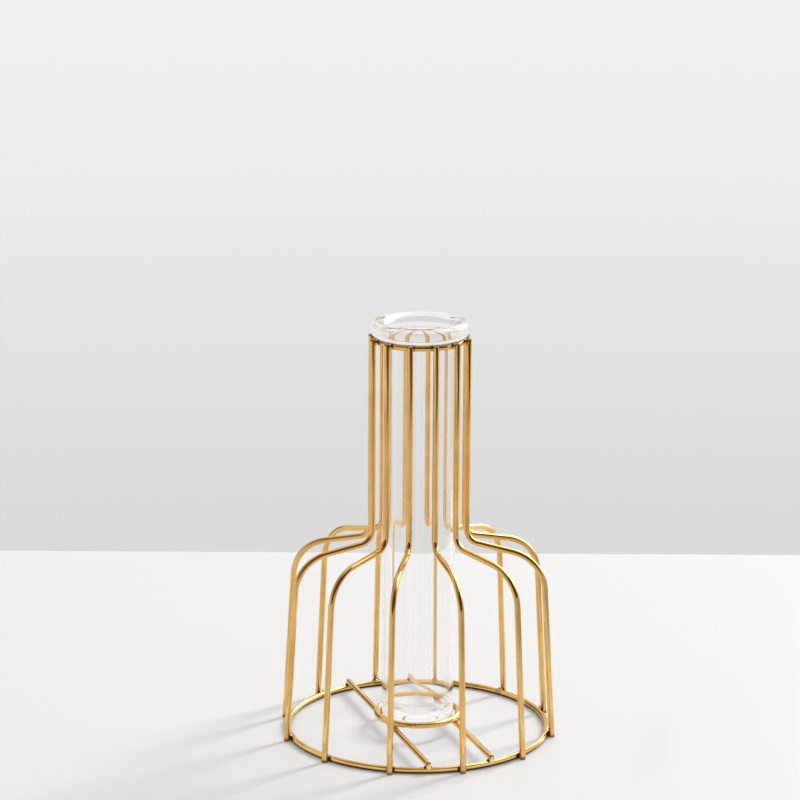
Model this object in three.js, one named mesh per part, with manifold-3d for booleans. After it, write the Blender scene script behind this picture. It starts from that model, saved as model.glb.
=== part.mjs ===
// Cage vase: a glass tube standing in a bottle-shaped frame of bent and welded wire.
// Millimetres, +Z up. The origin is on the table, at the centre of the foot ring.
// The tube lifts straight out of the frame along +Z.
import * as THREE from 'three';
import { mergeVertices } from 'three/addons/utils/BufferGeometryUtils.js';
import Module from 'manifold-3d';

// Wire sizes
const RIB_WIRE_D = 2.8;
const FOOT_RING_WIRE_D = 2.8;
const NECK_RING_WIRE_D = 2.8;
const SEAT_RING_WIRE_D = 2.8;
const BAR_WIRE_D = 2.8;

// Clearance left between two wires where they are welded
const WELD_GAP = 0.2;

// Frame
const RIB_COUNT = 12;
const FOOT_D = 130;
const FRAME_HEIGHT = 187;
const SHOULDER_HEIGHT = 85.5;
const SHOULDER_DRAW_IN = 5.2;
const SHOULDER_RISE = 6.7;
const SHOULDER_BEND_R = 18.5;
const NECK_BEND_R = 6.5;
const BAR_END_SETBACK = 0.4;
const BAR_END_CHAMFER = 0.35;

// Glass tube
const TUBE_D = 33.4;
const TUBE_WALL = 1.8;
const TUBE_BASE_THICKNESS = 5;
const FOOT_CORNER_R = 3.5;
const BORE_CORNER_R = 6;
const LIP_REACH = 5.7;
const LIP_HEIGHT = 7.2;
const LIP_UNDER_FILLET_R = 1.5;
const LIP_LOWER_EDGE_R = 2.4;
const LIP_UPPER_EDGE_R = 3;
const MOUTH_DEPTH = 5;

// Fits between the tube and the frame
const NECK_CLEARANCE = 1.4;
const SEAT_CLEARANCE = 0.9;
const LIP_REST_GAP = 0.3;
const FOOT_REST_GAP = 0.3;
const BAR_INSET = 1.7;

// Facets
const RIB_SIDES = 10;
const RING_SIDES = 12;
const BAR_SIDES = 16;
const TUBE_SIDES = 60;
const FOOT_RING_STEPS = 84;
const SMALL_RING_STEPS = 54;
const SHOULDER_BEND_STEPS = 9;
const NECK_BEND_STEPS = 8;
const EDGE_STEPS = 4;
const MOUTH_STEPS = 6;

// Radii worked out from the tube outwards and from the feet inwards
const tubeR = TUBE_D / 2;
const boreR = tubeR - TUBE_WALL;
const footCornerR = Math.min(FOOT_CORNER_R, tubeR / 2);
const neckRingR = tubeR + NECK_CLEARANCE + NECK_RING_WIRE_D / 2;
const seatRingR = tubeR + SEAT_CLEARANCE + SEAT_RING_WIRE_D / 2;
const neckRibR = neckRingR + NECK_RING_WIRE_D / 2 + WELD_GAP + RIB_WIRE_D / 2;
const footRibR = FOOT_D / 2 - RIB_WIRE_D / 2;
const shoulderRibR = footRibR - SHOULDER_DRAW_IN;
const footRingR = footRibR - RIB_WIRE_D / 2 - WELD_GAP - FOOT_RING_WIRE_D / 2;

// Heights worked out from the table upwards
const footRingZ = FOOT_RING_WIRE_D / 2;
const barZ = FOOT_RING_WIRE_D + WELD_GAP + BAR_WIRE_D / 2;
const seatRingZ = barZ + BAR_WIRE_D / 2 + WELD_GAP + SEAT_RING_WIRE_D / 2;
const neckCornerZ = SHOULDER_HEIGHT + SHOULDER_RISE;
const neckRingZ = FRAME_HEIGHT - NECK_RING_WIRE_D / 2;
const lipZ = FRAME_HEIGHT + LIP_REST_GAP;

// The bars run under the tube's rounded foot, and the tube stands on them
const barX = tubeR - BAR_INSET;
const barHalfLength = Math.sqrt((footRingR + FOOT_RING_WIRE_D / 2) ** 2 - barX ** 2) - BAR_END_SETBACK;
const tubeFootZ = footHeightOnBars();

const wasm = await Module();
wasm.setup();

const brassPlate = new THREE.MeshStandardMaterial({ color: 0xd8a65e, roughness: 0.22, metalness: 1 });
const clearGlass = new THREE.MeshStandardMaterial({
  color: 0xf4f8f7,
  roughness: 0.03,
  metalness: 0,
  transparent: true,
  opacity: 0.35,
});

// Height of the tube's underside when its foot corner, a round edge, rests on the bars
function footHeightOnBars() {
  const sideways = Math.max(barX - (tubeR - footCornerR), 0);
  const apart = BAR_WIRE_D / 2 + footCornerR + FOOT_REST_GAP;
  return barZ - footCornerR + Math.sqrt(apart ** 2 - sideways ** 2);
}

// A wire bent in one plane, as stations of a point and a direction: two for a straight run,
// and a few more round each bend.
class BentWire extends THREE.Curve {
  constructor(stations) {
    super();
    this.stations = stations;
  }

  getPoint(t, target = new THREE.Vector3()) {
    const place = t * (this.stations.length - 1);
    const first = Math.min(Math.floor(place), this.stations.length - 2);
    return target.lerpVectors(this.stations[first].point, this.stations[first + 1].point, place - first);
  }

  getPointAt(t, target) {
    return this.getPoint(t, target);
  }

  getTangentAt(t, target = new THREE.Vector3()) {
    const place = Math.round(t * (this.stations.length - 1));
    return target.copy(this.stations[place].direction);
  }
}

// Stations along a chain of corners, each inner corner rounded to its bend radius
function bendStations(corners, bends) {
  const stations = [];
  const addStation = (point, direction) => stations.push({ point, direction });
  const directions = corners.slice(1).map((corner, i) => corner.clone().sub(corners[i]).normalize());
  addStation(corners[0], directions[0]);
  bends.forEach(({ radius, steps }, i) => {
    const before = directions[i];
    const after = directions[i + 1];
    const turn = before.angleTo(after);
    const start = corners[i + 1].clone().addScaledVector(before, -radius * Math.tan(turn / 2));
    const inward = after.clone().addScaledVector(before, -Math.cos(turn)).normalize();
    for (let step = 0; step <= steps; step += 1) {
      const angle = turn * step / steps;
      const point = start.clone()
        .addScaledVector(before, radius * Math.sin(angle))
        .addScaledVector(inward, radius * (1 - Math.cos(angle)));
      const direction = before.clone().multiplyScalar(Math.cos(angle))
        .addScaledVector(inward, Math.sin(angle));
      addStation(point, direction);
    }
  });
  addStation(corners.at(-1), directions.at(-1));
  return stations;
}

// Round section for a wire, with as many flats as asked
function wireSection(diameter, sides) {
  const points = [];
  for (let i = 0; i < sides; i += 1) {
    const angle = 2 * Math.PI * (i + 0.5) / sides;
    points.push(new THREE.Vector2(Math.cos(angle), Math.sin(angle)).multiplyScalar(diameter / 2));
  }
  return new THREE.Shape(points);
}

function solidFrom(geometry) {
  const plain = geometry.clone();
  plain.deleteAttribute('normal');
  plain.deleteAttribute('uv');
  const merged = mergeVertices(plain);
  return new wasm.Manifold(new wasm.Mesh({
    numProp: 3,
    vertProperties: merged.attributes.position.array,
    triVerts: merged.index.array,
  }));
}

function geometryFrom(solid) {
  const mesh = solid.getMesh();
  const geometry = new THREE.BufferGeometry();
  geometry.setAttribute('position', new THREE.BufferAttribute(mesh.vertProperties, 3));
  geometry.setIndex(new THREE.BufferAttribute(mesh.triVerts, 1));
  geometry.computeVertexNormals();
  return geometry;
}

// Rib: one wire from the table up the leg, over the shoulder and up the neck.
// The leg leans in, so it starts below the table and its foot is cut level with it.
function ribGeometry() {
  const foot = new THREE.Vector3(0, -footRibR, 0);
  const shoulder = new THREE.Vector3(0, -shoulderRibR, SHOULDER_HEIGHT);
  const neck = new THREE.Vector3(0, -neckRibR, neckCornerZ);
  const top = new THREE.Vector3(0, -neckRibR, FRAME_HEIGHT);
  const start = foot.clone().addScaledVector(shoulder.clone().sub(foot).normalize(), -RIB_WIRE_D);
  const shoulderBend = { radius: SHOULDER_BEND_R, steps: SHOULDER_BEND_STEPS };
  const neckBend = { radius: NECK_BEND_R, steps: NECK_BEND_STEPS };
  const wire = new BentWire(bendStations([start, shoulder, neck, top], [shoulderBend, neckBend]));
  const swept = new THREE.ExtrudeGeometry(wireSection(RIB_WIRE_D, RIB_SIDES), {
    extrudePath: wire,
    steps: wire.stations.length - 1,
    bevelEnabled: false,
  });
  const table = new THREE.BoxGeometry(FOOT_D, FOOT_D, FOOT_D);
  table.translate(0, -footRibR, -FOOT_D / 2);
  return geometryFrom(solidFrom(swept).subtract(solidFrom(table)));
}

function ringGeometry(radius, wireD, steps) {
  return new THREE.TorusGeometry(radius, wireD / 2, RING_SIDES, steps);
}

// Bar: a straight cut length of wire along Y, its ends lightly chamfered
function barGeometry() {
  const r = BAR_WIRE_D / 2;
  const profile = [
    new THREE.Vector2(0, -barHalfLength),
    new THREE.Vector2(r - BAR_END_CHAMFER, -barHalfLength),
    new THREE.Vector2(r, -barHalfLength + BAR_END_CHAMFER),
    new THREE.Vector2(r, barHalfLength - BAR_END_CHAMFER),
    new THREE.Vector2(r - BAR_END_CHAMFER, barHalfLength),
    new THREE.Vector2(0, barHalfLength),
  ];
  return new THREE.LatheGeometry(profile, BAR_SIDES);
}

// Tube: a revolved wall with a thick round-cornered base and a heavy rounded lip whose mouth opens
// like a bell. The outline runs from the axis under the foot, up the outside, over and down the bore.
function tubeOutline() {
  const boreCorner = Math.min(BORE_CORNER_R, boreR * 0.8);
  const lipR = tubeR + LIP_REACH;
  const lipTop = lipZ + LIP_HEIGHT;
  const underFillet = Math.min(LIP_UNDER_FILLET_R, LIP_REACH / 3);
  const lowerEdge = Math.min(LIP_LOWER_EDGE_R, LIP_REACH / 2, LIP_HEIGHT / 2);
  const upperEdge = Math.min(LIP_UPPER_EDGE_R, LIP_REACH, LIP_HEIGHT / 2);
  const crestR = lipR - upperEdge;
  const filletR = tubeR + underFillet;
  const boreFloor = tubeFootZ + TUBE_BASE_THICKNESS;
  const quarter = Math.PI / 2;
  const lineTo = (r, z) => [new THREE.Vector2(r, z)];
  const arcTo = (r, z, rx, ry, from, to, steps) => new THREE.EllipseCurve(r, z, rx, ry, from, to, to < from)
    .getPoints(steps);
  const outline = [
    ...lineTo(0, tubeFootZ),
    ...arcTo(tubeR - footCornerR, tubeFootZ + footCornerR, footCornerR, footCornerR, -quarter, 0, EDGE_STEPS),
    ...arcTo(filletR, lipZ - underFillet, underFillet, underFillet, 2 * quarter, quarter, EDGE_STEPS),
    ...arcTo(lipR - lowerEdge, lipZ + lowerEdge, lowerEdge, lowerEdge, -quarter, 0, EDGE_STEPS),
    ...arcTo(crestR, lipTop - upperEdge, upperEdge, upperEdge, 0, quarter, EDGE_STEPS),
    ...arcTo(crestR, lipTop - MOUTH_DEPTH, crestR - boreR, MOUTH_DEPTH, quarter, 2 * quarter, MOUTH_STEPS),
    ...arcTo(boreR - boreCorner, boreFloor + boreCorner, boreCorner, boreCorner, 0, -quarter, EDGE_STEPS),
    ...lineTo(0, boreFloor),
  ];
  const apart = (point, i) => i === 0 || point.distanceTo(outline[i - 1]) > 1e-6;
  return outline.filter(apart);
}

function tubeGeometry() {
  const geometry = new THREE.LatheGeometry(tubeOutline(), TUBE_SIDES);
  geometry.rotateX(Math.PI / 2);
  return geometry;
}

function addPiece(parent, name, geometry, material, z = 0) {
  const mesh = new THREE.Mesh(geometry, material.clone());
  mesh.name = name;
  mesh.position.z = z;
  parent.add(mesh);
  return mesh;
}

const group = new THREE.Group();

const frame = new THREE.Group();
group.add(frame);
const footRingShape = ringGeometry(footRingR, FOOT_RING_WIRE_D, FOOT_RING_STEPS);
addPiece(frame, 'foot_ring', footRingShape, brassPlate, footRingZ);
const ribShape = ribGeometry();
for (let i = 0; i < RIB_COUNT; i += 1) {
  const rib = addPiece(frame, `rib_${String(i + 1).padStart(2, '0')}`, ribShape, brassPlate);
  rib.rotation.z = 2 * Math.PI * i / RIB_COUNT;
}
const neckRingShape = ringGeometry(neckRingR, NECK_RING_WIRE_D, SMALL_RING_STEPS);
addPiece(frame, 'neck_ring', neckRingShape, brassPlate, neckRingZ);
for (const [name, side] of [['seat_bar_left', -1], ['seat_bar_right', 1]]) {
  const bar = addPiece(frame, name, barGeometry(), brassPlate, barZ);
  bar.position.x = side * barX;
}
const seatRingShape = ringGeometry(seatRingR, SEAT_RING_WIRE_D, SMALL_RING_STEPS);
addPiece(frame, 'seat_ring', seatRingShape, brassPlate, seatRingZ);

const liftOut = new THREE.Group();
group.add(liftOut);
addPiece(liftOut, 'glass_tube', tubeGeometry(), clearGlass);

export default group;
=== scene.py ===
# %% [markdown]
# # A cage vase in plated wire and glass
# The real vase is a clear glass tube that stands in a bottle-shaped cage of bent wire. The wires
# are steel, cut, bent and welded, and then plated in a bright brass colour. We load the packed
# model first, because every piece made here has to land exactly where the model holds it.

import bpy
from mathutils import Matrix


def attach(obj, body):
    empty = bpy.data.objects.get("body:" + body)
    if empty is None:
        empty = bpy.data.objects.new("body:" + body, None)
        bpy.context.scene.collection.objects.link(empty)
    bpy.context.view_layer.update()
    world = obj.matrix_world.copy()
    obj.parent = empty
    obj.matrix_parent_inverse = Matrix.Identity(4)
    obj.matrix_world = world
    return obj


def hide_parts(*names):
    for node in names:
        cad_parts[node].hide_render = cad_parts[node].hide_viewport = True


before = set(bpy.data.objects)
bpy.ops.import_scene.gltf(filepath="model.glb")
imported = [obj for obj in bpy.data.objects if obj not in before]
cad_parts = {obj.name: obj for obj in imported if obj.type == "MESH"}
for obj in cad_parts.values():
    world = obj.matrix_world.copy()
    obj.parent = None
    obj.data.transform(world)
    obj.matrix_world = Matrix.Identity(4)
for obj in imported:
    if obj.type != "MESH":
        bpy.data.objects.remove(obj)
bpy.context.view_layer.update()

# %% [markdown]
# ## Camera
# A camera could be aimed by eye. Here its place was worked out from the feet, the bends and the
# cut ends of the wires, so it stands where the photo was taken from: a long lens, 1.3 m away and
# a little above the vase. The three turns are the heading, the tilt and a trace of roll.
#
# Light that enters the thick glass lip goes round inside it many times. A path that is cut short
# ends in black and leaves a dark mark in the glass, so the limits on bounces are set high. They
# could stay low if the lip were thin.

# %% Camera
import math

import bpy
from mathutils import Matrix, Vector

MM = 0.001
VIEW_PLACE = Vector((-404.7, -1178.0, 455.2))
VIEW_HEADING = -18.55
VIEW_TILT = 90 - 13.45
VIEW_ROLL = 0.32
LIGHT_BOUNCES = 512

camera_data = bpy.data.cameras.new("camera")
camera_data.sensor_width = 36
camera_data.lens = 126.46
camera = bpy.data.objects.new("camera", camera_data)
bpy.context.scene.collection.objects.link(camera)
heading = Matrix.Rotation(math.radians(VIEW_HEADING), 4, "Z")
tilt = Matrix.Rotation(math.radians(VIEW_TILT), 4, "X")
roll = Matrix.Rotation(math.radians(VIEW_ROLL), 4, "Z")
camera.matrix_world = Matrix.Translation(VIEW_PLACE * MM) @ heading @ tilt @ roll
bpy.context.scene.camera = camera
bpy.context.scene.view_settings.view_transform = "Standard"
for limit in ("max_bounces", "glossy_bounces", "transmission_bounces"):
    setattr(bpy.context.scene.cycles, limit, LIGHT_BOUNCES)
print("camera is", round(camera.location.length, 3), "m from the origin")

# %% [markdown]
# ## Sizes
# A wire frame is set by a few lines: where each wire's middle runs and how thick it is. We keep
# those in millimetres, as on a maker's drawing, and turn them into metres when they are used.
# Radii are taken from the vase's axis, or from a bend's own centre, and heights from the table.

# %% Sizes of the wires
WIRE_R = 1.4
RIB_COUNT = 12
FOOT_RIB_R = 63.6
SHOULDER_RIB_R = 58.4
NECK_RIB_R = 22.5
SHOULDER_Z = 85.5
NECK_Z = 92.2
TOP_Z = 187.0
SHOULDER_BEND_R = 18.5
NECK_BEND_R = 6.5
FOOT_RING_R = 60.6
FOOT_RING_Z = 1.4
NECK_RING_R = 19.5
NECK_RING_Z = 185.6
SEAT_RING_R = 19.0
SEAT_RING_Z = 7.4
BAR_X = 15.0
BAR_Z = 4.4
BAR_END_SETBACK = 0.4
BAR_END_Y = math.sqrt((FOOT_RING_R + WIRE_R) ** 2 - BAR_X ** 2) - BAR_END_SETBACK
print("bars end", round(BAR_END_Y, 2), "mm from the middle")

# %% [markdown]
# ## Working in edit mode
# An operator acts on whatever is selected, so we start each piece from an empty selection and
# pick faces, edges and points by where they are. One helper does the picking, one finishes a
# piece: normals outwards, smooth faces, and its place kept in the mesh, with the object itself
# at the origin.

# %% Start a piece and pick its parts
import bmesh


def start_piece():
    """Leaves edit mode and deselects everything, so that an operator can't touch the model's nodes."""
    if bpy.context.object and bpy.context.object.mode != "OBJECT":
        bpy.ops.object.mode_set(mode="OBJECT")
    bpy.ops.object.select_all(action="DESELECT")


def middle(part):
    """The place of a point, or the middle of an edge or a face, in millimetres."""
    corners = [part] if isinstance(part, bmesh.types.BMVert) else list(part.verts)
    return sum((corner.co for corner in corners), Vector()) / len(corners) / MM


def pick(kind, test):
    """Selects the points, edges or faces of the open piece whose middle passes the test."""
    bpy.ops.mesh.select_mode(type=kind)
    bpy.ops.mesh.select_all(action="DESELECT")
    shape = bmesh.from_edit_mesh(bpy.context.object.data)
    parts = {"VERT": shape.verts, "EDGE": shape.edges, "FACE": shape.faces}[kind]
    chosen = [part for part in parts if test(middle(part))]
    for part in chosen:
        part.select_set(True)
    shape.select_flush_mode()
    bmesh.update_edit_mesh(bpy.context.object.data)
    return len(chosen)


# %% Finish a piece
def close_piece(name, smooth_angle=40):
    """Merges doubles, turns the faces outwards, shades smooth and puts the object at the origin."""
    bpy.ops.mesh.select_mode(type="VERT")
    bpy.ops.mesh.select_all(action="SELECT")
    bpy.ops.mesh.remove_doubles(threshold=0.002 * MM)
    bpy.ops.mesh.normals_make_consistent(inside=False)
    bpy.ops.object.mode_set(mode="OBJECT")
    bpy.ops.object.transform_apply(location=True, rotation=True, scale=True)
    bpy.ops.object.shade_smooth_by_angle(angle=math.radians(smooth_angle))
    piece = bpy.context.object
    piece.name = name
    piece.data.name = name
    return piece


def stand_for(piece, body, slot, *nodes):
    """The piece moves with a body and stands for model nodes, which are hidden. The slot is not used.
    """
    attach(piece, body)
    if nodes:
        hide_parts(*nodes)


def report(piece):
    """Prints the box of a piece in millimetres."""
    corners = [piece.matrix_world @ Vector(corner) for corner in piece.bound_box]
    low = [round(min(c[i] for c in corners) / MM, 2) for i in range(3)]
    high = [round(max(c[i] for c in corners) / MM, 2) for i in range(3)]
    print(piece.name, low, high, len(piece.data.polygons), "faces")


# %% [markdown]
# ## A rib
# Each rib of the real cage is one straight length of wire, bent twice: a wide bend over the
# shoulder and a tight one into the neck. A curve with a round bevel would give the same tube,
# but we bend it as a maker does. A disc of wire is pulled straight with Extrude, swept round a
# bend with Spin, and so on to the top.

# %% Where the bends start
def across(radius, height):
    """A point of the first rib, which lies in the plane X = 0 on the -Y side, in millimetres."""
    return Vector((0, -radius, height))


FOOT = across(FOOT_RIB_R, 0)
SHOULDER = across(SHOULDER_RIB_R, SHOULDER_Z)
NECK = across(NECK_RIB_R, NECK_Z)
TOP = across(NECK_RIB_R, TOP_Z)
LEG_WAY = (SHOULDER - FOOT).normalized()
ARM_WAY = (NECK - SHOULDER).normalized()
NECK_WAY = (TOP - NECK).normalized()


def bend(corner, before, after, radius):
    """Start, centre and turn of the arc that rounds one corner of a wire."""
    turn = before.angle(after)
    start = corner - before * radius * math.tan(turn / 2)
    inward = (after - before * math.cos(turn)).normalized()
    return start, start + inward * radius, turn


shoulder_start, shoulder_centre, shoulder_turn = bend(SHOULDER, LEG_WAY, ARM_WAY, SHOULDER_BEND_R)
neck_start, neck_centre, neck_turn = bend(NECK, ARM_WAY, NECK_WAY, NECK_BEND_R)
print("shoulder bend", round(math.degrees(shoulder_turn), 1), "degrees, neck bend",
      round(math.degrees(neck_turn), 1))

# %% Bend the first rib
WIRE_SIDES = 24
SHOULDER_STEPS = 18
NECK_STEPS = 14


def pull(way):
    """Extrudes what is selected by a vector in millimetres."""
    bpy.ops.mesh.extrude_region_move(TRANSFORM_OT_translate={"value": tuple(way * MM)})


def sweep(centre, turn, axis, steps):
    """Spins the selected end of the wire round a bend."""
    bpy.ops.mesh.spin(steps=steps, angle=turn, center=tuple(centre * MM), axis=axis)


start_piece()
leg_start = FOOT - LEG_WAY * 2 * WIRE_R  # a little under the table, for the cut that follows
lean = math.asin(LEG_WAY.y)
bpy.ops.mesh.primitive_circle_add(
    vertices=WIRE_SIDES,
    radius=WIRE_R * MM,
    fill_type="NGON",
    location=leg_start * MM,
    rotation=(-lean, 0, 0),
)
bpy.ops.object.transform_apply(location=True, rotation=True, scale=True)
bpy.ops.object.mode_set(mode="EDIT")
bpy.ops.mesh.select_all(action="SELECT")
pull(shoulder_start - leg_start)
sweep(shoulder_centre, shoulder_turn, (1, 0, 0), SHOULDER_STEPS)
shoulder_end = SHOULDER + ARM_WAY * (SHOULDER - shoulder_start).length
pull(neck_start - shoulder_end)
sweep(neck_centre, neck_turn, (-1, 0, 0), NECK_STEPS)
neck_end = NECK + NECK_WAY * (NECK - neck_start).length
pull(TOP - neck_end)
print("bent wire has", len(bmesh.from_edit_mesh(bpy.context.object.data).faces), "faces")

# %% [markdown]
# ## The two cut ends
# The leg leans in, so a square cut would stand on its edge. The real ends are ground level with
# the ring so that the cage doesn't rock. Bisect cuts the wire along the table and fills the cut.
# Then both ends lose their sharp edge with a small bevel, because plating never sits on one.

# %% Cut the foot and ease the ends
NEAR = 0.01
FOOT_EASE = 0.16
TOP_EASE = 0.35

bpy.ops.mesh.select_all(action="SELECT")
bpy.ops.mesh.bisect(plane_co=(0, 0, 0), plane_no=(0, 0, 1), use_fill=True, clear_inner=True)
foot_edges = pick("EDGE", lambda at: abs(at.z) < NEAR)
bpy.ops.mesh.bevel(offset=FOOT_EASE * MM, segments=2, affect="EDGES")
top_edges = pick("EDGE", lambda at: abs(at.z - TOP_Z) < NEAR)
bpy.ops.mesh.bevel(offset=TOP_EASE * MM, segments=3, affect="EDGES")
print("eased", foot_edges, "edges at the foot and", top_edges, "at the top")
first_rib = close_piece("wire_rib_01")
report(first_rib)

# %% [markdown]
# ## Lines along the wire
# Wire is drawn through a die, which leaves fine lines along it, and the plating lets them show.
# A pattern in plain object space would cut across the bends. So each wire gets a UV map whose V
# is the length along the wire, in metres, and whose U goes once round it. The corners of a face
# that lies over the seam are moved by one whole turn, which keeps the face from smearing.

# %% Map a wire along its length
def map_wire(piece, path, sideways):
    """Writes a UV map: U round the wire, from the direction sideways, and V along the path."""
    lengths = [0.0]
    for before, after in zip(path, path[1:]):
        lengths.append(lengths[-1] + (after - before).length)

    def along_and_round(point):
        best = None
        for i, (before, after) in enumerate(zip(path, path[1:])):
            span = after - before
            share = min(max((point - before).dot(span) / span.length_squared, 0), 1)
            off = point - before - span * share
            if best is None or off.length < best[0]:
                best = (off.length, lengths[i] + span.length * share, off, span.normalized())
        _, along, off, way = best
        side = (sideways - way * sideways.dot(way)).normalized()
        angle = math.atan2(off.dot(way.cross(side)), off.dot(side))
        return angle / (2 * math.pi) + 0.5, along * MM

    mesh = piece.data
    layer = mesh.uv_layers.new(name="along_wire")
    spots = [along_and_round(vertex.co / MM) for vertex in mesh.vertices]
    for face in mesh.polygons:
        turns = [spots[i][0] for i in face.vertices]
        over_seam = max(turns) - min(turns) > 0.5
        for loop, i in zip(face.loop_indices, face.vertices):
            u, v = spots[i]
            layer.data[loop].uv = (u + 1 if over_seam and u < 0.5 else u, v)


# %% The path of a rib
def arc_points(start, centre, axis, turn, steps):
    """Points along a bend, for the path of a wire."""
    return [centre + Matrix.Rotation(turn * i / steps, 3, axis) @ (start - centre)
            for i in range(steps + 1)]


LEFT = Vector((-1, 0, 0))
RIGHT = Vector((1, 0, 0))
rib_path = [FOOT]
rib_path += arc_points(shoulder_start, shoulder_centre, LEFT, shoulder_turn, SHOULDER_STEPS)
rib_path += arc_points(neck_start, neck_centre, RIGHT, neck_turn, NECK_STEPS)
rib_path += [TOP]
rib_length = sum((after - before).length for before, after in zip(rib_path, rib_path[1:]))
map_wire(first_rib, rib_path, RIGHT)
print("wire in one rib:", round(rib_length), "mm")

# %% [markdown]
# ## Twelve ribs
# The ribs stand every 30 degrees round the foot ring. The finished rib is copied with its own
# mesh, and each copy is turned about the middle of the vase. The turn is then applied, which
# leaves the object unturned and the place in the mesh.

# %% Copy the rib round the foot ring
def turn_selected(degrees):
    """Turns the selected objects about the vase's axis and applies the turn."""
    # The operator counts clockwise from above, and the ribs are numbered the other way round.
    bpy.ops.transform.rotate(
        value=math.radians(-degrees),
        orient_axis="Z",
        center_override=(0, 0, 0),
    )
    bpy.ops.object.transform_apply(location=True, rotation=True, scale=True)


ribs = [first_rib]
for number in range(2, RIB_COUNT + 1):
    start_piece()
    first_rib.select_set(True)
    bpy.context.view_layer.objects.active = first_rib
    bpy.ops.object.duplicate(linked=False)
    turn_selected(360 / RIB_COUNT * (number - 1))
    rib = bpy.context.object
    rib.name = f"wire_rib_{number:02d}"
    rib.data.name = rib.name
    ribs.append(rib)
for number, rib in enumerate(ribs, start=1):
    stand_for(rib, "wire_frame", "plated_wire", f"rib_{number:02d}")
report(ribs[3])

# %% [markdown]
# ## Three rings
# The foot ring, the neck ring and the seat ring are hoops rolled from the same wire, with the
# two ends butted and welded. A torus primitive would be quicker, but it can't show the weld. A
# circle of wire is spun once round the axis, the seam is merged, and a short stretch is then
# swelled where the ends meet.

# %% Roll the rings
UP = Vector((0, 0, 1))
SEAM_DEPTH = 1.0
SEAM_SWELLS = [(0.9, 0.06), (0.3, 0.08)]


def roll_ring(name, radius, height, steps, seam_at):
    """A hoop of wire with a slightly swollen butt weld at the angle seam_at, in degrees.

    The swelling goes in two steps, each with its reach past the wire and its rise. It leaves the
    underside as it is, so that the ring still lies flat.
    """
    start_piece()
    bpy.ops.mesh.primitive_circle_add(
        vertices=WIRE_SIDES,
        radius=WIRE_R * MM,
        location=(radius * MM, 0, height * MM),
        rotation=(math.radians(90), 0, 0),
    )
    bpy.ops.object.transform_apply(location=True, rotation=True, scale=True)
    bpy.ops.object.mode_set(mode="EDIT")
    bpy.ops.mesh.select_all(action="SELECT")
    bpy.ops.mesh.spin(steps=steps, angle=2 * math.pi, center=(0, 0, 0), axis=(0, 0, 1))
    seam = Vector((math.cos(math.radians(seam_at)), math.sin(math.radians(seam_at)), 0)) * radius
    seam.z = height
    for reach, swell in SEAM_SWELLS:
        pick("VERT", lambda at: (at.to_2d() - seam.to_2d()).length < WIRE_R + reach
             and at.z > height - SEAM_DEPTH)
        bpy.ops.transform.shrink_fatten(value=-swell * MM)
    ring = close_piece(name)
    path = [Vector((radius * math.cos(a), radius * math.sin(a), height))
            for a in (2 * math.pi * i / steps for i in range(steps + 1))]
    map_wire(ring, path, UP)
    return ring


# %% Three rings
foot_ring = roll_ring("wire_foot_ring", FOOT_RING_R, FOOT_RING_Z, steps=160, seam_at=105)
neck_ring = roll_ring("wire_neck_ring", NECK_RING_R, NECK_RING_Z, steps=96, seam_at=75)
seat_ring = roll_ring("wire_seat_ring", SEAT_RING_R, SEAT_RING_Z, steps=96, seam_at=160)
stand_for(foot_ring, "wire_frame", "plated_wire", "foot_ring")
stand_for(neck_ring, "wire_frame", "plated_wire", "neck_ring")
stand_for(seat_ring, "wire_frame", "plated_wire", "seat_ring")
for ring in (foot_ring, neck_ring, seat_ring):
    report(ring)

# %% [markdown]
# ## Seat bars
# Two straight wires lie across the foot ring and carry the tube. Their ends were cropped with
# cutters, which pinches them a little before the grinder takes the burr off. The end faces are
# inset, drawn out and eased, so each end is a shallow dome with a soft edge.

# %% Cut the bars
DOME = 0.1
BAR_EASE = 0.5
BAR_FACE_INSET = 0.3


def cut_bar(name, side):
    """One bar along Y at x = side * BAR_X, with eased and slightly domed ends."""
    start_piece()
    bpy.ops.mesh.primitive_circle_add(
        vertices=WIRE_SIDES,
        radius=WIRE_R * MM,
        fill_type="NGON",
        location=Vector((side * BAR_X, -BAR_END_Y + DOME, BAR_Z)) * MM,
        rotation=(math.radians(90), 0, 0),
    )
    bpy.ops.object.transform_apply(location=True, rotation=True, scale=True)
    bpy.ops.object.mode_set(mode="EDIT")
    bpy.ops.mesh.select_all(action="SELECT")
    pull(Vector((0, 2 * BAR_END_Y - 2 * DOME, 0)))
    for end in (-1, 1):
        pick("EDGE", lambda at: abs(at.y - end * (BAR_END_Y - DOME)) < NEAR)
        bpy.ops.mesh.bevel(offset=BAR_EASE * MM, segments=4, affect="EDGES")
        pick("FACE", lambda at: abs(at.y - end * (BAR_END_Y - DOME)) < NEAR)
        bpy.ops.mesh.inset(thickness=BAR_FACE_INSET * MM, depth=0)
        pull(Vector((0, end * DOME, 0)))
    bar = close_piece(name)
    path = [Vector((side * BAR_X, y, BAR_Z)) for y in (-BAR_END_Y, BAR_END_Y)]
    map_wire(bar, path, RIGHT)
    stand_for(bar, "wire_frame", "plated_wire", "seat_bar_left" if side < 0 else "seat_bar_right")
    report(bar)
    return bar


bars = [cut_bar("wire_seat_bar_left", -1), cut_bar("wire_seat_bar_right", 1)]

# %% [markdown]
# ## Weld beads
# Where two wires cross, a spot weld squeezes out a little collar of metal, and a touch of filler
# sits in the groove beside it. Small dark lumps sit on both sides, near-black partly with weld scale
# and partly as painted shade of the crevice at the joint, and a bigger bead ties each end of a bar
# to the foot ring. They are small, yet they make the joints read as welded and not as wires that
# only touch.
#
# Each lump is modelled from a sphere: flattened, roughened with seeded noise and relaxed. Two to
# four of a kind are made, copied in turn to every joint of that kind and joined into one piece.

# %% Model one lump of weld metal
LUMPINESS = 0.16


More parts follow.
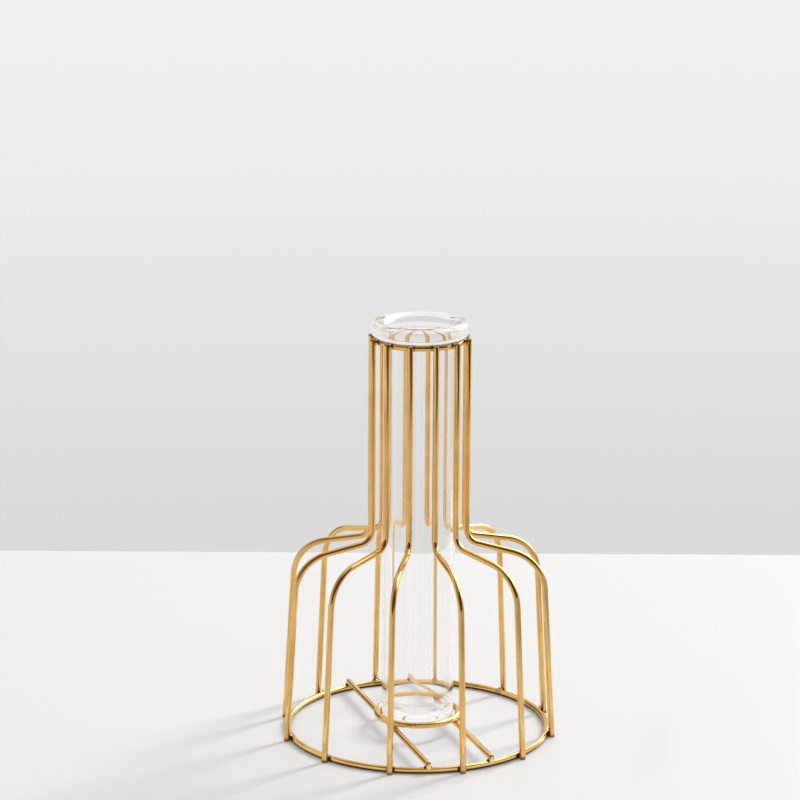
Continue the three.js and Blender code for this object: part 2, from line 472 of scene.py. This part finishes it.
def weld_lump(name, across_x, across_y, across_z, seed):
    """A lumpy bead round the origin, with its three half sizes in millimetres."""
    start_piece()
    bpy.ops.mesh.primitive_uv_sphere_add(segments=14, ring_count=9, radius=MM)
    bpy.ops.object.mode_set(mode="EDIT")
    bpy.ops.mesh.select_all(action="SELECT")
    bpy.ops.transform.resize(value=(across_x, across_y, across_z), center_override=(0, 0, 0))
    bpy.ops.transform.vertex_random(offset=LUMPINESS * MM, seed=seed)
    bpy.ops.mesh.vertices_smooth(factor=0.5, repeat=1)
    bpy.ops.mesh.subdivide(number_cuts=1, smoothness=0.8)
    return close_piece(name, 60)


# %% Copy lumps to a row of joints
def weld_row(name, lumps, places):
    """Copies of the lumps at each place, a matrix in millimetres, joined into one piece."""
    start_piece()
    copies = []
    for i, place in enumerate(places):
        lump = lumps[i % len(lumps)]
        copy = bpy.data.objects.new(name, lump.data.copy())
        bpy.context.scene.collection.objects.link(copy)
        copy.matrix_world = Matrix.Scale(MM, 4) @ place @ Matrix.Scale(1 / MM, 4)
        copy.select_set(True)
        copies.append(copy)
    bpy.context.view_layer.objects.active = copies[0]
    bpy.ops.object.join()
    bpy.ops.object.transform_apply(location=True, rotation=True, scale=True)
    row = bpy.context.object
    row.name = name
    row.data.name = name
    stand_for(row, "wire_frame", "plated_wire")
    report(row)
    return row


# %% Model the lumps
# The three numbers are a lump's half sizes in X, Y and Z, before it is turned into its place.
collars = [weld_lump(f"lump_{seed}", 1.3, 0.62, 1.3, seed) for seed in (3, 8, 21)]
fillers = [weld_lump(f"filler_{seed}", 0.95, 0.62, 0.6, seed) for seed in (5, 13, 34)]
beads = [weld_lump(f"bead_{seed}", 1.2, 0.85, 1.6, seed) for seed in (11, 16)]
# Lumps for both sides of each joint. Their near-black finish is partly weld scale and partly painted
# shade of the crevice there.
dark_lumps = [weld_lump(f"burn_{seed}", 0.5, 0.55, 1.05, seed) for seed in (2, 7, 19, 30)]
print("modelled", len(collars + fillers + beads + dark_lumps), "lumps")

# %% [markdown]
# ## Where the welds sit
# Each joint's middle is known from the wires: where a rib meets the foot ring or the neck ring,
# where a bar lies on the foot ring, and where the seat ring lies on a bar. From there a weld is
# moved by 1.4 mm at most, to the side where its metal ran out. Matrices do this better than
# places typed in by hand, because one list of turns serves every row.

# %% Middles of the joints
def move(x, y, z):
    """A move in millimetres."""
    return Matrix.Translation((x, y, z))


HALF_GAP = 0.1
foot_joint_r = FOOT_RING_R + WIRE_R + HALF_GAP
neck_joint_r = NECK_RING_R + WIRE_R + HALF_GAP
bar_joint_y = math.sqrt(FOOT_RING_R ** 2 - BAR_X ** 2)
bar_joint_z = (FOOT_RING_Z + BAR_Z) / 2
seat_joint_y = math.sqrt(SEAT_RING_R ** 2 - BAR_X ** 2)
seat_joint_z = (BAR_Z + SEAT_RING_Z) / 2
flat = Matrix.Rotation(math.radians(90), 4, "X")
quarters = [(sx, sy) for sx in (-1, 1) for sy in (-1, 1)]
rib_turns = [Matrix.Rotation(2 * math.pi * i / RIB_COUNT, 4, "Z") for i in range(RIB_COUNT)]
print("on a bar, joints", round(seat_joint_y, 2), "and", round(bar_joint_y, 2), "mm from its middle")

# %% Plated welds
BEAD_OUT = 1.3

welds = [
    weld_row("weld_collars_foot", collars,
             [turn @ move(0, -foot_joint_r, FOOT_RING_Z + 0.15) for turn in rib_turns]),
    weld_row("weld_fillers_foot", fillers,
             [turn @ move(0, -foot_joint_r + 0.35, FOOT_RING_Z + 1.02) for turn in rib_turns]),
    weld_row("weld_collars_neck", collars,
             [turn @ move(0, -neck_joint_r, NECK_RING_Z - 0.1) for turn in rib_turns]),
    weld_row("weld_fillers_neck", fillers,
             [turn @ move(0, -neck_joint_r + 0.2, NECK_RING_Z + 0.75) for turn in rib_turns]),
    weld_row("weld_collars_bars", collars,
             [move(sx * BAR_X, sy * bar_joint_y, bar_joint_z) @ flat for sx, sy in quarters]),
    weld_row("weld_collars_seat", collars,
             [move(sx * BAR_X, sy * seat_joint_y, seat_joint_z) @ flat for sx, sy in quarters]),
]
bar_beads = weld_row("weld_beads_bars", beads, [
    move(sx * BAR_X, sy * (bar_joint_y + BEAD_OUT), bar_joint_z + 0.2) for sx, sy in quarters
])

# %% Dark lumps, near-black with weld scale and painted shade
DARK_LUMP_ASIDE = 1.3
FOOT_DARK_LUMP_ASIDE = 1.38
FOOT_DARK_LUMP = Matrix.Scale(1.25, 4)
NECK_DARK_LUMP = Matrix.Scale(0.7, 4)

dark_welds = [
    weld_row("weld_dark_lumps_foot", dark_lumps, [
        turn @ move(side * FOOT_DARK_LUMP_ASIDE, -foot_joint_r + 0.1, FOOT_RING_Z + 0.35) @ FOOT_DARK_LUMP
        for turn in rib_turns for side in (-1, 1)
    ]),
    weld_row("weld_dark_lumps_neck", dark_lumps, [
        turn @ move(side * DARK_LUMP_ASIDE, -neck_joint_r + 0.1, NECK_RING_Z + 0.6) @ NECK_DARK_LUMP
        for turn in rib_turns for side in (-1, 1)
    ]),
    weld_row("weld_dark_lumps_bars", dark_lumps, [
        move(sx * BAR_X + side * DARK_LUMP_ASIDE, sy * bar_joint_y, bar_joint_z + 0.05) @ flat
        for sx, sy in quarters for side in (-1, 1)
    ]),
    weld_row("weld_dark_lumps_seat", dark_lumps, [
        move(sx * BAR_X + side * DARK_LUMP_ASIDE, sy * seat_joint_y, seat_joint_z + 0.05) @ flat
        for sx, sy in quarters for side in (-1, 1)
    ]),
]
for lump in collars + fillers + beads + dark_lumps:
    bpy.data.objects.remove(lump)

# %% [markdown]
# ## Glass tube
# The tube is blown or drawn glass with a heavy rolled lip and a thick base, turned round one
# axis. So its outline is drawn once, point by point, with Extrude on single points. The corners
# are rounded with a vertex bevel, which gives each its own radius, and Spin turns the outline
# into a closed wall of glass. The wall has a true inner and outer face, because light is only
# bent rightly by glass that has both.

# %% Draw the outline and round its corners
TUBE_R = 16.7
BORE_R = 14.9
FOOT_Z = 5.78
FLOOR_Z = 10.78
LIP_Z = 187.3
LIP_TOP_Z = 194.5
LIP_R = 22.4

# Each point has its distance from the axis, its height and the radius of its corner.
outline = [
    (0, FOOT_Z, 0),
    (TUBE_R, FOOT_Z, 3.5),
    (TUBE_R, LIP_Z, 1.5),
    (LIP_R, LIP_Z, 2.4),
    (LIP_R, LIP_TOP_Z, 2.95),
    (BORE_R, LIP_TOP_Z, 4.45),
    (BORE_R, FLOOR_Z, 6),
    (0, FLOOR_Z, 0),
]
start_piece()
bpy.ops.mesh.primitive_plane_add(size=MM)
bpy.ops.object.mode_set(mode="EDIT")
bpy.ops.mesh.select_all(action="SELECT")
bpy.ops.mesh.merge(type="CENTER")
bpy.ops.transform.translate(value=(0, 0, outline[0][1] * MM))
for (r0, z0, _), (r1, z1, _) in zip(outline, outline[1:]):
    pull(Vector((r1 - r0, 0, z1 - z0)))
for r, z, radius in outline:
    if radius:
        pick("VERT", lambda at: abs(at.x - r) < NEAR and abs(at.z - z) < NEAR)
        bpy.ops.mesh.bevel(offset=radius * MM, segments=9, affect="VERTICES")
print("the outline has", len(bmesh.from_edit_mesh(bpy.context.object.data).verts), "points")

# %% Turn the outline into the tube
TURN_STEPS = 120

bpy.ops.mesh.select_mode(type="VERT")
bpy.ops.mesh.select_all(action="SELECT")
bpy.ops.mesh.spin(steps=TURN_STEPS, angle=2 * math.pi, center=(0, 0, 0), axis=(0, 0, 1))
tube = close_piece("glass_vessel", 30)
stand_for(tube, "tube", "clear_glass", "glass_tube")
report(tube)

# %% [markdown]
# ## Shader maths in Python
# A finish is a small sum: this noise times that amount, plus a mask. Written node by node it is
# hard to read. This class wraps a socket, so that + - and * add the Math nodes, and one method
# makes every other node from its kind, its settings and the values or links of its sockets.

# %% A class for sockets
class Value:
    """One output of a node. Sums with it add Math nodes to the same finish."""

    def __init__(self, finish, socket):
        self.finish = finish
        self.socket = socket

    def sum(self, operation, first, second):
        """A Math node with two inputs."""
        return self.finish.node("ShaderNodeMath", {"operation": operation}, {0: first, 1: second})

    def __add__(self, other):
        return self.sum("ADD", self, other)

    def __radd__(self, other):
        return self.sum("ADD", other, self)

    def __sub__(self, other):
        return self.sum("SUBTRACT", self, other)

    def __rsub__(self, other):
        return self.sum("SUBTRACT", other, self)

    def __mul__(self, other):
        return self.sum("MULTIPLY", self, other)

    def __rmul__(self, other):
        return self.sum("MULTIPLY", other, self)


# %% A class for finishes
class Finish:
    """A material or a world, and the one method that adds nodes to it."""

    def __init__(self, owner):
        owner.use_nodes = True
        self.owner = owner
        self.tree = owner.node_tree
        self.tree.nodes.clear()

    def node(self, kind, settings=None, sockets=None, output=0):
        """Adds a node, sets it up and gives back one of its outputs."""
        made = self.tree.nodes.new(kind)
        for name, value in (settings or {}).items():
            setattr(made, name, value)
        for name, value in (sockets or {}).items():
            if isinstance(value, Value):
                self.tree.links.new(value.socket, made.inputs[name])
            else:
                made.inputs[name].default_value = value
        return Value(self, made.outputs[output]) if made.outputs else None

    def noise(self, place, scale, detail):
        """Soft noise. The scale is about the number of its patches in one unit of the place."""
        sockets = {"Vector": place, "Scale": scale, "Detail": detail}
        return self.node("ShaderNodeTexNoise", sockets=sockets)

    def blend(self, share, first, second):
        """A mix of two colours."""
        return self.node("ShaderNodeMix", {"data_type": "RGBA"}, {0: share, 6: first, 7: second}, 2)

    def ramp(self, value, low, high):
        """0 below low, 1 above high, and a smooth step between them."""
        return self.node(
            "ShaderNodeMapRange",
            {"interpolation_type": "SMOOTHSTEP"},
            {"Value": value, "From Min": low, "From Max": high, "To Min": 0.0, "To Max": 1.0},
        )


# %% [markdown]
# ## Brass-coloured plate
# The wire is polished and plated, so it is nearly a mirror and its colour comes from what it
# reflects. Four small things keep it from looking like a computer's gold. Drawing lines run along
# it, which break a highlight into streaks. Fine pits roughen it. The colour and the polish vary a
# little from place to place. And the plate is browner and duller next to a weld, where the
# polishing wheel can't reach. The same brown is laid on as painted shade in two bands: along the
# underside of the foot ring, where it mirrors the table in its own shadow, and on top of the neck
# ring, in the shade under the lip.

# %% Where the plate is browned, and where shade is painted
def browning_and_painted_shade(finish, place, along_wire, dull_at, every, heights):
    """0 on clean plate, and 1 or more at a weld, at an end and in a band of painted shade.

    dull_at lists places along the wire with their reach, and every is the length from one weld to
    the next on a hoop, all in millimetres. heights gives the height where the painted shade starts,
    the one where it is full, and its strength.
    """
    dull_and_shade = 0.0
    for spot_at, reach in dull_at:
        off = along_wire - spot_at * MM
        away = finish.node("ShaderNodeMath", {"operation": "ABSOLUTE"}, {0: off})
        dull_and_shade = (1 - finish.ramp(away, reach * 0.3 * MM, reach * MM)) + dull_and_shade
    if every:
        half = every * MM / 2
        away = finish.node("ShaderNodeMath", {"operation": "PINGPONG"}, {0: along_wire, 1: half})
        dull_and_shade = (1 - finish.ramp(away, 1.1 * MM, 2.6 * MM)) * 0.5 + dull_and_shade
    # Painted shade: a band by height, used for the foot ring's underside and the neck ring's top.
    if heights:
        start, full, strength = heights
        height = finish.node("ShaderNodeSeparateXYZ", sockets={0: place}, output=2)
        dull_and_shade = finish.ramp(height, start * MM, full * MM) * strength + dull_and_shade
    return dull_and_shade


# %% Plated wire
PLATE_PALE = (0.890, 0.570, 0.195, 1)
PLATE_DEEP = (0.800, 0.475, 0.140, 1)
# The brown of dull plate at welds, also used as the colour of the painted shade.
BROWN_AND_PAINTED_SHADE = (0.120, 0.055, 0.018, 1)
DRAWN_OUT = 22


def plated_wire(name, dull_at=(), every=None, heights=None):
    """Polished plate with drawing lines along the wire, browned at welds and darkened with painted
    shade as browning() says.
    """
    finish = Finish(bpy.data.materials.new(name))
    place = finish.node("ShaderNodeTexCoord", output=3)
    spot = finish.node("ShaderNodeUVMap", {"uv_map": "along_wire"})
    round_wire = finish.node("ShaderNodeSeparateXYZ", sockets={0: spot}, output=0)
    along_wire = finish.node("ShaderNodeSeparateXYZ", sockets={0: spot}, output=1)
    angle = round_wire * (2 * math.pi)
    side = finish.node("ShaderNodeMath", {"operation": "COSINE"}, {0: angle})
    front = finish.node("ShaderNodeMath", {"operation": "SINE"}, {0: angle})
    # The wire's radius is 1 unit across and a metre along it is only 22. So the noise is drawn
    # out into lines about 0.2 mm wide and 6 mm long.
    along = along_wire * DRAWN_OUT
    lay = finish.node("ShaderNodeCombineXYZ", sockets={0: side, 1: front, 2: along})
    lines = finish.noise(lay, 7.0, 4.0)
    # Clouds are some 14 mm across, and pits half a millimetre.
    clouds = finish.noise(place, 70.0, 3.0)
    pits = finish.noise(place, 1900.0, 2.0)
    dull_and_shade = browning_and_painted_shade(finish, place, along_wire, dull_at, every, heights)
    bright = finish.blend(finish.ramp(clouds, 0.35, 0.7), PLATE_DEEP, PLATE_PALE)
    # Weld browning and painted shade both pull the plate towards this one brown.
    colour = finish.blend(dull_and_shade * (0.45 + clouds * 0.6), bright, BROWN_AND_PAINTED_SHADE)
    roughness = 0.05 + lines * 0.06 + clouds * 0.05 + dull_and_shade * 0.10
    relief = lines * 0.6 + pits * 0.25
    bump = finish.node(
        "ShaderNodeBump",
        sockets={"Strength": 0.12, "Distance": 0.06 * MM, "Height": relief},
    )
    metal = finish.node("ShaderNodeBsdfPrincipled", sockets={
        "Base Color": colour,
        "Metallic": 1.0,
        "Roughness": roughness,
        "Normal": bump,
    })
    finish.node("ShaderNodeOutputMaterial", sockets={"Surface": metal})
    return finish.owner


# %% Dress the wires
def dress(finish, *pieces):
    """Gives pieces one finish."""
    for piece in pieces:
        piece.data.materials.clear()
        piece.data.materials.append(finish)


# Each spot has its place along the wire and its reach, as browning() takes them.
rib_spots = [(0.2, 1.8), (rib_length, 0.9)]
bar_spots = [(0, 0.3), (BAR_END_Y - seat_joint_y, 2.0)]
bar_spots += [(2 * BAR_END_Y - spot_at, reach) for spot_at, reach in bar_spots]
foot_pitch = 2 * math.pi * FOOT_RING_R / RIB_COUNT
neck_pitch = 2 * math.pi * NECK_RING_R / RIB_COUNT
# Bands of painted shade: the underside of the foot ring, where it mirrors the table in its own shadow,
# and the top of the neck ring, in the shade under the glass lip.
foot_painted_shade = (1.25, 0.85, 2.6)
neck_painted_shade = (186.0, 186.5, 0.8)
dress(plated_wire("plated_wire_ribs", rib_spots), *ribs)
dress(plated_wire("plated_wire_foot", every=foot_pitch, heights=foot_painted_shade), foot_ring)
dress(plated_wire("plated_wire_neck", every=neck_pitch, heights=neck_painted_shade), neck_ring)
dress(plated_wire("plated_wire_seat"), seat_ring)
dress(plated_wire("plated_wire_bars", bar_spots), *bars)
print("dressed", len(ribs) + len(bars) + 3, "wires")

# %% [markdown]
# ## Weld metal
# A weld is lumpy all over, and what dirt and scale stay on it sit in its hollows. So one fine
# noise gives both the relief and the darker spots. The collars and fillers have taken a bright
# plate. The beads at the bars' ends are plated too, but rough, so they look pale and matt. The
# dark lumps are nearly black, partly with scale and partly as painted shade of the crevices at
# the joints. A plain brown colour would do from afar, but metal that mirrors its surroundings
# darkly sits better among the wires.

# %% Weld metal
def weld_metal(name, bright, dark, roughness):
    """Lumpy metal, with scale in its hollows."""
    finish = Finish(bpy.data.materials.new(name))
    grains = finish.noise(finish.node("ShaderNodeTexCoord", output=3), 1500.0, 3.0)
    bump = finish.node(
        "ShaderNodeBump",
        sockets={"Strength": 0.5, "Distance": 0.1 * MM, "Height": grains},
    )
    metal = finish.node("ShaderNodeBsdfPrincipled", sockets={
        "Base Color": finish.blend(finish.ramp(grains, 0.4, 0.65), bright, dark),
        "Metallic": 1.0,
        "Roughness": roughness + grains * 0.12,
        "Normal": bump,
    })
    finish.node("ShaderNodeOutputMaterial", sockets={"Surface": metal})
    return finish.owner


plated = weld_metal("plated_weld", (0.98, 0.72, 0.30, 1), (0.80, 0.50, 0.16, 1), roughness=0.08)
matt = weld_metal("plated_bead", (1.00, 0.80, 0.46, 1), (0.96, 0.68, 0.34, 1), roughness=0.48)
# Nearly black: weld scale, and painted shade of the crevices beside the joints.
scale_and_shade = weld_metal("dark_weld_scale_and_shade", (0.07, 0.035, 0.014, 1), (0.02, 0.01, 0.005, 1), roughness=0.16)
dress(plated, *welds)
dress(matt, bar_beads)
dress(scale_and_shade, *dark_welds)
print("dressed", len(welds) + len(dark_welds) + 1, "rows of welds")

# %% [markdown]
# ## Clear glass
# Clean glass has no colour of its own. What shows is how it bends the light: bright and dark
# lines along its edges, and a tangle of them in the thick lip and base. Its surface isn't quite
# true, because it was shaped hot, so a very low and wide bump is added. A few dried marks are a
# touch rougher.

# %% Glass
glass_finish = Finish(bpy.data.materials.new("clear_glass"))
glass_place = glass_finish.node("ShaderNodeTexCoord", output=3)
# Waves run along the tube, as it was drawn out while hot, so the third number is small.
stretched = glass_finish.node(
    "ShaderNodeVectorMath",
    {"operation": "MULTIPLY"},
    {0: glass_place, 1: (1.0, 1.0, 0.35)},
)
waves = glass_finish.noise(stretched, 95.0, 1.0)
marks = glass_finish.noise(glass_place, 420.0, 4.0)
glass_bump = glass_finish.node(
    "ShaderNodeBump",
    sockets={"Strength": 0.02, "Distance": 0.1 * MM, "Height": waves},
)
glass = glass_finish.node("ShaderNodeBsdfPrincipled", sockets={
    "Base Color": (0.996, 1.0, 0.998, 1),
    "Roughness": glass_finish.ramp(marks, 0.62, 0.78) * 0.05,
    "IOR": 1.5,
    "Transmission Weight": 1.0,
    "Normal": glass_bump,
})
glass_finish.node("ShaderNodeOutputMaterial", sockets={"Surface": glass})
dress(glass_finish.owner, tube)
print("clear glass has", len(glass_finish.tree.nodes), "nodes")

# %% [markdown]
# ## The table
# The vase stands on a white table that ends not far behind it, with a pale backdrop beyond. A
# plane could run on without an end, but the line where it stops shows how far back it goes. So
# its far edge is moved up, and the table's thickness is drawn down from there. Its paint has a
# slight sheen and a trace of unevenness.

# %% Table
# In metres, like Blender's own sizes.
TABLE_HALF = 4.0
TABLE_EDGE = 0.285
TABLE_THICKNESS = 0.03

start_piece()
bpy.ops.mesh.primitive_plane_add(size=2)
bpy.ops.object.mode_set(mode="EDIT")
bpy.ops.mesh.select_all(action="SELECT")
bpy.ops.transform.resize(value=(TABLE_HALF, TABLE_HALF, 1.0), center_override=(0, 0, 0))
pick("EDGE", lambda at: at.y * MM > TABLE_HALF - 0.1)
bpy.ops.transform.translate(value=(0, TABLE_EDGE - TABLE_HALF, 0))
pull(Vector((0, 0, -TABLE_THICKNESS)) / MM)
bpy.ops.object.mode_set(mode="OBJECT")
table = bpy.context.object
table.name = "table"
table.rotation_euler.z = math.radians(VIEW_HEADING)
print("table ends", TABLE_EDGE, "m behind the vase's middle")

# %% White paint on the table
table_finish = Finish(bpy.data.materials.new("table_white"))
table_place = table_finish.node("ShaderNodeTexCoord", output=3)
uneven = table_finish.noise(table_place, 3.0, 2.0)
table_paint = table_finish.node("ShaderNodeBsdfPrincipled", sockets={
    "Base Color": table_finish.blend(uneven, (0.905, 0.895, 0.880, 1), (0.930, 0.920, 0.905, 1)),
    "Roughness": 0.38,
    "Specular IOR Level": 0.20,
})
table_finish.node("ShaderNodeOutputMaterial", sockets={"Surface": table_paint})
dress(table_finish.owner, table)
print("paint has", len(table_finish.tree.nodes), "nodes")

# %% [markdown]
# ## The studio round the vase
# Polished metal shows what is round it more than a colour of its own, so that matters as much as
# the finish. It is drawn in the world's nodes as soft patches by direction: a pale backdrop all
# round, a dim ceiling, a dark front above the camera, a dim corner behind on the left, and a
# bright patch high on the right behind the vase. The dark front draws the dark line along each
# bent arm. A panorama would do the same, but patches can be moved one by one.

# %% Directions and greys
def seen_from_camera(turn, rise):
    """A direction in the world. Turn is to the right, from facing the camera, and rise is upwards."""
    turn, rise = math.radians(turn), math.radians(rise)
    level = Vector((math.sin(turn), -math.cos(turn), 0)) * math.cos(rise)
    way = Matrix.Rotation(math.radians(VIEW_HEADING), 3, "Z") @ level
    way.z = math.sin(rise)
    return tuple(way)


def grey(tone):
    """A plain grey, where 1 is white."""
    return (tone, tone, tone, 1)


print("backdrop is towards", [round(v, 2) for v in seen_from_camera(180, 0)])

# %% Patches of the studio
DARK_FRONT = (0.07, 0.05, 0.02, 1)

# Each patch has the turn and rise of its middle, where it starts and is full, and its tone.
PATCHES = [
    (-40, 48, 0.62, 0.95, (0.28, 0.22, 0.14, 1)),
    (-134, 10, 0.88, 0.98, grey(0.14)),
    (15, 18, 0.62, 0.86, DARK_FRONT),
    (132, 37, 0.81, 0.925, grey(4.60)),
]

world = bpy.data.worlds.new("studio")
bpy.context.scene.world = world
studio = Finish(world)
look = studio.node("ShaderNodeTexCoord", output=0)
look_rise = studio.node("ShaderNodeSeparateXYZ", sockets={0: look}, output=2)


def towards(turn, rise, near, full):
    """A soft patch of the studio: 0 where the cosine to its middle is near, 1 where it is full."""
    cosine = studio.node(
        "ShaderNodeVectorMath",
        {"operation": "DOT_PRODUCT"},
        {0: look, 1: seen_from_camera(turn, rise)},
        1,
    )
    return studio.ramp(cosine, near, full)


backdrop = studio.blend(studio.ramp(look_rise, -0.30, -0.10), grey(0.70), grey(0.86))
upper = grey(0.85)
for turn, rise, near, full, tone in PATCHES:
    upper = studio.blend(towards(turn, rise, near, full), upper, tone)
print("studio has", len(PATCHES), "patches")

# %% [markdown]
# ## What each kind of ray sees
# A ray from the camera or from polished metal sees the patches. One that came through the glass
# sees a plain pale studio instead, which keeps the glass clear. The table is lit by a plain white
# fill, so that the patches don't colour it. In a real studio all of them would see the same, but
# here the Light Path node tells them apart.

# %% Tell the rays apart
FILL_LIGHT = 0.62

mirrored = studio.blend(studio.ramp(look_rise, -0.04, 0.06), backdrop, upper)
through = studio.blend(studio.ramp(look_rise, 0.10, 0.80), backdrop, grey(1.00))
camera_ray, glossy_ray, glass_ray, glass_depth = [
    studio.node("ShaderNodeLightPath", output=name)
    for name in ("Is Camera Ray", "Is Glossy Ray", "Is Transmission Ray", "Transmission Depth")
]
seen = studio.node("ShaderNodeBackground", sockets={
    "Color": studio.blend(glass_depth, mirrored, through),
    "Strength": 1.0,
})
fill = studio.node("ShaderNodeBackground", sockets={"Color": grey(1.0), "Strength": FILL_LIGHT})
direct = studio.node(
    "ShaderNodeMath",
    {"operation": "MAXIMUM"},
    {0: camera_ray + glossy_ray, 1: glass_ray},
)
mixed = studio.node("ShaderNodeMixShader", sockets={0: direct, 1: fill, 2: seen})
studio.node("ShaderNodeOutputWorld", sockets={"Surface": mixed})
print("studio has", len(studio.tree.nodes), "nodes")

# %% [markdown]
# ## The lamp and what it lights
# One large soft lamp, like a window far off on the right and a little behind the vase, gives the
# light and the shadows, which fall to the left and forwards. The wires mirror the studio's bright
# patch in its place, so the lamp itself is hidden from reflections, and from rays that come
# through the glass, where it would show a second time.
#
# A renderer's shadow of clear glass is too dark, so the tube casts none, and it takes no part in
# the fill light. Neither do the thin wires, which would darken and brown the table inside the
# cage. The foot ring does, because it lies on the table and darkens the line where they meet.

# %% Lamp
# The lamp's place is seen from the camera: to the right, away and upwards, in metres.
LAMP_PLACE = Vector((3.70, 3.08, 3.70))
VASE_MIDDLE = Vector((0, 0, 0.09))

lamp_data = bpy.data.lights.new("window_right", "AREA")
lamp_data.shape = "RECTANGLE"
lamp_data.size = 1.2
lamp_data.size_y = 2.6
lamp_data.energy = 203
lamp = bpy.data.objects.new("window_right", lamp_data)
bpy.context.scene.collection.objects.link(lamp)
lamp.location = Matrix.Rotation(math.radians(VIEW_HEADING), 3, "Z") @ LAMP_PLACE
lamp.rotation_mode = "QUATERNION"
lamp.rotation_quaternion = (lamp.location - VASE_MIDDLE).to_track_quat("Z", "Y")
print("lamp is", round(lamp.location.length, 2), "m from the origin")

# %% What takes part in the light
lamp.visible_glossy = False
lamp.visible_transmission = False
tube.visible_shadow = False
tube.visible_diffuse = False
for wire in (*ribs, *bars, seat_ring, neck_ring):
    wire.visible_diffuse = False
print("left out of the fill light:", len(ribs) + len(bars) + 3, "pieces")

# %% [markdown]
# ## Three cards
# Polished metal is often photographed between cards, so that it mirrors something dark next to
# something pale and reads as metal. A tall card stands in front on the right. Its low part is dim
# and draws the soft stripe down the ribs' necks, and its dark upper part sharpens the dark line
# along the arms. A low grey card beside the right legs darkens them towards the shoulder. A lower,
# pale one close to the foot ring keeps the middle of that ring bright.
#
# They show in reflections only, so they light nothing and cast no shadow. They also glow on their
# inner side only, or the table's sheen would mirror them from outside.

# %% The finish of a card
def card_finish(name, low, high, fade):
    """A glow on the inner side, from low to high between the two heights of the fade."""
    finish = Finish(bpy.data.materials.new(name))
    place = finish.node("ShaderNodeTexCoord", output=3)
    height = finish.node("ShaderNodeSeparateXYZ", sockets={0: place}, output=2)
    tone = finish.blend(finish.ramp(height, *fade), low, high)
    glow = finish.node("ShaderNodeEmission", sockets={"Color": tone})
    inner_side = finish.node("ShaderNodeNewGeometry", output="Backfacing")
    clear = finish.node("ShaderNodeBsdfTransparent")
    one_sided = finish.node("ShaderNodeMixShader", sockets={0: inner_side, 1: clear, 2: glow})
    finish.node("ShaderNodeOutputMaterial", sockets={"Surface": one_sided})
    return finish.owner


# %% Hang a card
def hang_card(name, turns, radius, heights, finish):
    """An upright curved card round the vase that shows in reflections only.

    Turns are its two ends, in degrees to the right from the camera's side. Heights are its lower
    and upper edge, in metres.
    """
    start_piece()
    bpy.ops.mesh.primitive_cylinder_add(
        vertices=180,
        radius=radius,
        depth=heights[1] - heights[0],
        end_fill_type="NOTHING",
        location=(0, 0, (heights[0] + heights[1]) / 2),
    )
    bpy.ops.object.transform_apply(location=True, rotation=True, scale=True)
    bpy.ops.object.mode_set(mode="EDIT")
    to_camera = Matrix.Rotation(math.radians(-VIEW_HEADING), 3, "Z")

    def off_the_card(at):
        way = to_camera @ at
        turn = math.degrees(math.atan2(way.x, -way.y))
        return not turns[0] < turn < turns[1]

    pick("FACE", off_the_card)
    bpy.ops.mesh.delete(type="FACE")
    bpy.ops.object.mode_set(mode="OBJECT")
    card = bpy.context.object
    card.name = name
    for kind in ("camera", "diffuse", "transmission", "volume_scatter", "shadow"):
        setattr(card, "visible_" + kind, False)
    dress(finish, card)
    print(name, "has", len(card.data.polygons), "faces")


# %% Hang three cards
DIM_CARD = (0.66, 0.57, 0.42, 1)
dark = card_finish("dark_card_front", low=DIM_CARD, high=DARK_FRONT, fade=(0.110, 0.150))
dim = card_finish("dim_card_legs", low=grey(0.77), high=grey(0.50), fade=(0.008, 0.045))
pale = card_finish("pale_card_foot", low=grey(1.05), high=grey(1.05), fade=(0, 1))
hang_card("dark_card_front", turns=(12, 72), radius=0.36, heights=(0.002, 0.60), finish=dark)
hang_card("dim_card_legs", turns=(-4, 104), radius=0.12, heights=(0.006, 0.082), finish=dim)
hang_card("pale_card_foot", turns=(-110, 80), radius=0.075, heights=(0.0025, 0.010), finish=pale)
